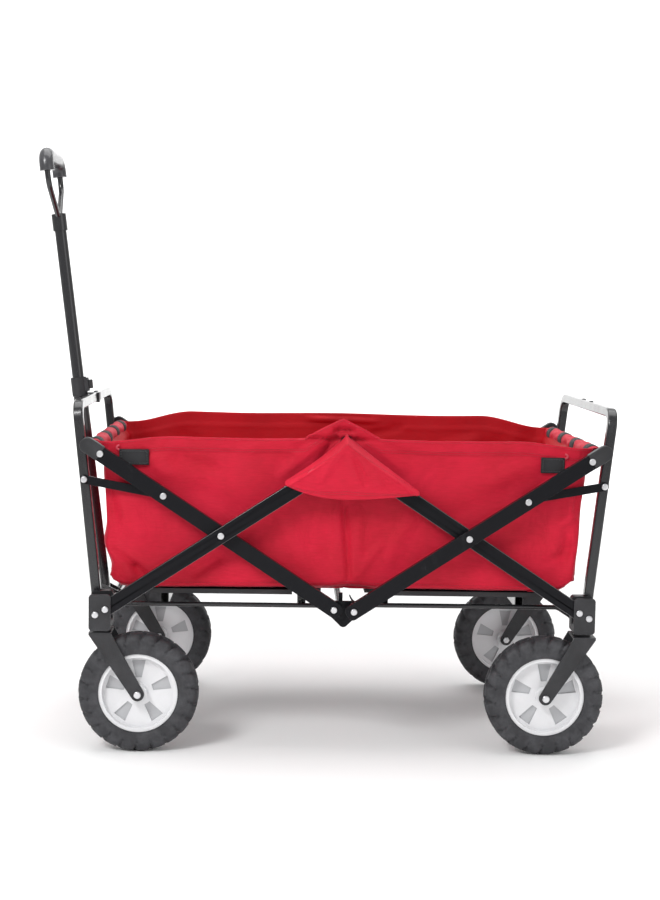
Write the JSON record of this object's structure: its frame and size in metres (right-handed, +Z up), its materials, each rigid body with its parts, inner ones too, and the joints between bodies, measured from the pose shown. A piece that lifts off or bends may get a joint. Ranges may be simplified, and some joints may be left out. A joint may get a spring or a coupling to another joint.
{
  "type": "folding camp wagon",
  "caption": "Folding camp wagon: a black scissor frame carries an open red fabric tub on spoked-look wheels, with front casters and a tilting telescopic pull handle.",
  "frame": {"origin": "on the ground, under the middle of the whole wagon's bounding box with its handle up", "axes": "+X from the handle end to the rear, +Y from the near side to the far side, +Z up"},
  "size_m": [0.9864, 0.5382, 1.0117],
  "materials": {
    "black_steel": "glossy black powder coat",
    "rivet_steel": "bright zinc rivets and bolts",
    "tyre_rubber": "matte moulded rubber",
    "hub_plastic": "satin white moulding",
    "red_fabric": "coated plain-weave polyester",
    "board_plastic": "black hardboard with a fabric skin",
    "black_plastic": "textured moulded nylon",
    "grip_plastic": "semi-gloss moulded grip",
    "black_webbing": "ribbed polyester webbing"
  },
  "bodies": {
    "centre_hub": {"lower_hub": "black_steel", "lower_hub_rivets": "rivet_steel"},
    "top_hub": {"top_hub_plates": "black_steel", "top_hub_rivets": "rivet_steel", "bag_walls": "red_fabric", "hub_flaps": "red_fabric"},
    "handle_lower": {"handle_outer_tube": "black_steel", "handle_collar": "black_plastic"},
    "handle_upper": {"handle_inner_tube": "black_steel", "handle_yoke": "black_steel", "handle_grip": "grip_plastic"},
    "handle_lock": {"handle_button": "black_plastic"},
    "front_upper_arms": {"upper_arm_front_near": "black_steel", "upper_arm_front_far": "black_steel", "rim_bar_front": "black_steel", "rim_sleeve_front": "red_fabric", "upper_arm_rivets_front": "rivet_steel"},
    "front_lower_arms": {"lower_arm_front_near": "black_steel", "lower_arm_front_far": "black_steel"},
    "front_links": {"links_front": "black_steel"},
    "front_floor": {"floor_rods_front": "black_steel", "floor_board_front": "board_plastic", "floor_mat_front": "red_fabric"},
    "front_frame": {"post_frame_front": "black_steel", "knuckles_front": "black_plastic", "crossbar_front": "black_steel", "frame_rivets_front": "rivet_steel", "handle_clevis": "black_steel", "handle_clip": "black_plastic"},
    "wheel_front_near": {"tyre_front_near": "tyre_rubber", "wheel_hub_front_near": "hub_plastic"},
    "caster_near": {"fork_front_near": "black_steel", "axle_front_near": "rivet_steel"},
    "wheel_front_far": {"tyre_front_far": "tyre_rubber", "wheel_hub_front_far": "hub_plastic"},
    "caster_far": {"fork_front_far": "black_steel", "axle_front_far": "rivet_steel"},
    "rear_upper_arms": {"upper_arm_rear_near": "black_steel", "upper_arm_rear_far": "black_steel", "rim_bar_rear": "black_steel", "rim_sleeve_rear": "red_fabric", "upper_arm_rivets_rear": "rivet_steel"},
    "rear_lower_arms": {"lower_arm_rear_near": "black_steel", "lower_arm_rear_far": "black_steel"},
    "rear_links": {"links_rear": "black_steel"},
    "rear_floor": {"floor_rods_rear": "black_steel", "floor_board_rear": "board_plastic", "floor_mat_rear": "red_fabric"},
    "rear_frame": {"post_frame_rear": "black_steel", "knuckles_rear": "black_plastic", "crossbar_rear": "black_steel", "frame_rivets_rear": "rivet_steel", "fork_rear_near": "black_steel", "fork_rear_far": "black_steel", "axle_rear_near": "rivet_steel", "axle_rear_far": "rivet_steel"},
    "wheel_rear_near": {"tyre_rear_near": "tyre_rubber", "wheel_hub_rear_near": "hub_plastic"},
    "wheel_rear_far": {"tyre_rear_far": "tyre_rubber", "wheel_hub_rear_far": "hub_plastic"}
  },
  "joints": [
    {"name": "fold", "type": "hinge", "parent": "centre_hub", "child": "front_upper_arms", "pos_m": [0.0233, 0, 0.244], "axis": [0, 1, 0], "range_deg": [0, 37.7]},
    {"name": "front_scissor", "type": "hinge", "parent": "front_upper_arms", "child": "front_lower_arms", "pos_m": [-0.16517, 0, 0.3678], "axis": [0, 1, 0], "range_deg": [-75.41, 0]},
    {"name": "front_foot", "type": "hinge", "parent": "front_lower_arms", "child": "front_frame", "pos_m": [-0.35365, 0, 0.244], "axis": [0, 1, 0], "range_deg": [0, 37.71]},
    {"name": "top_hub_turn", "type": "hinge", "parent": "front_lower_arms", "child": "top_hub", "pos_m": [0.0233, 0, 0.49161], "axis": [0, 1, 0], "range_deg": [0, 37.71], "deforming": ["bag_walls"]},
    {"name": "rear_fold", "type": "hinge", "parent": "centre_hub", "child": "rear_upper_arms", "pos_m": [0.0559, 0, 0.244], "axis": [0, 1, 0], "range_deg": [-37.71, 0]},
    {"name": "rear_scissor", "type": "hinge", "parent": "rear_upper_arms", "child": "rear_lower_arms", "pos_m": [0.24438, 0, 0.3678], "axis": [0, 1, 0], "range_deg": [0, 75.41]},
    {"name": "rear_foot", "type": "hinge", "parent": "rear_lower_arms", "child": "rear_frame", "pos_m": [0.43285, 0, 0.244], "axis": [0, 1, 0], "range_deg": [-37.71, 0]},
    {"name": "front_link_turn", "type": "hinge", "parent": "front_frame", "child": "front_links", "pos_m": [-0.39271, 0, 0.455], "axis": [0, 1, 0], "range_deg": [-66.28, 0]},
    {"name": "rear_link_turn", "type": "hinge", "parent": "rear_frame", "child": "rear_links", "pos_m": [0.47191, 0, 0.455], "axis": [0, 1, 0], "range_deg": [0, 66.28]},
    {"name": "front_floor_fold", "type": "hinge", "parent": "front_frame", "child": "front_floor", "pos_m": [-0.3644, 0, 0.219], "axis": [0, 1, 0], "range_deg": [-61.17, 0]},
    {"name": "rear_floor_fold", "type": "hinge", "parent": "rear_frame", "child": "rear_floor", "pos_m": [0.4436, 0, 0.219], "axis": [0, 1, 0], "range_deg": [0, 61.17]},
    {"name": "handle_tilt", "type": "hinge", "parent": "front_frame", "child": "handle_lower", "pos_m": [-0.3864, 0, 0.231], "axis": [0, -1, 0], "range_deg": [0, 90]},
    {"name": "handle_slide", "type": "slide", "parent": "handle_lower", "child": "handle_upper", "axis": [-0.1219, 0, 0.9925], "range_m": [-0.255, 0]},
    {"name": "handle_button_press", "type": "slide", "parent": "handle_lower", "child": "handle_lock", "axis": [-0.9925, 0, -0.1219], "range_m": [0, 0.004], "stiffness_N_per_m": 400},
    {"name": "caster_swivel_near", "type": "hinge", "parent": "front_frame", "child": "caster_near", "pos_m": [-0.3634, -0.23, 0.15], "axis": [0, 0, 1], "continuous": true},
    {"name": "wheel_spin_front_near", "type": "hinge", "parent": "caster_near", "child": "wheel_front_near", "pos_m": [-0.3004, -0.23, 0.1], "axis": [0, 1, 0], "continuous": true},
    {"name": "wheel_spin_rear_near", "type": "hinge", "parent": "rear_frame", "child": "wheel_rear_near", "pos_m": [0.3796, -0.23, 0.1], "axis": [0, 1, 0], "continuous": true},
    {"name": "caster_swivel_far", "type": "hinge", "parent": "front_frame", "child": "caster_far", "pos_m": [-0.3634, 0.23, 0.15], "axis": [0, 0, 1], "continuous": true},
    {"name": "wheel_spin_front_far", "type": "hinge", "parent": "caster_far", "child": "wheel_front_far", "pos_m": [-0.3004, 0.23, 0.1], "axis": [0, 1, 0], "continuous": true},
    {"name": "wheel_spin_rear_far", "type": "hinge", "parent": "rear_frame", "child": "wheel_rear_far", "pos_m": [0.3796, 0.23, 0.1], "axis": [0, 1, 0], "continuous": true}
  ],
  "couplings": [
    {"joint": "front_scissor", "follows": "fold", "ratio": -2},
    {"joint": "front_foot", "follows": "fold", "ratio": 1},
    {"joint": "top_hub_turn", "follows": "fold", "ratio": 1},
    {"joint": "rear_fold", "follows": "fold", "ratio": -1},
    {"joint": "rear_scissor", "follows": "fold", "ratio": 2},
    {"joint": "rear_foot", "follows": "fold", "ratio": -1},
    {"joint": "front_link_turn", "follows": "fold", "ratio": -1.7578},
    {"joint": "rear_link_turn", "follows": "fold", "ratio": 1.7578},
    {"joint": "front_floor_fold", "follows": "fold", "ratio": -1.6222},
    {"joint": "rear_floor_fold", "follows": "fold", "ratio": 1.6222}
  ]
}
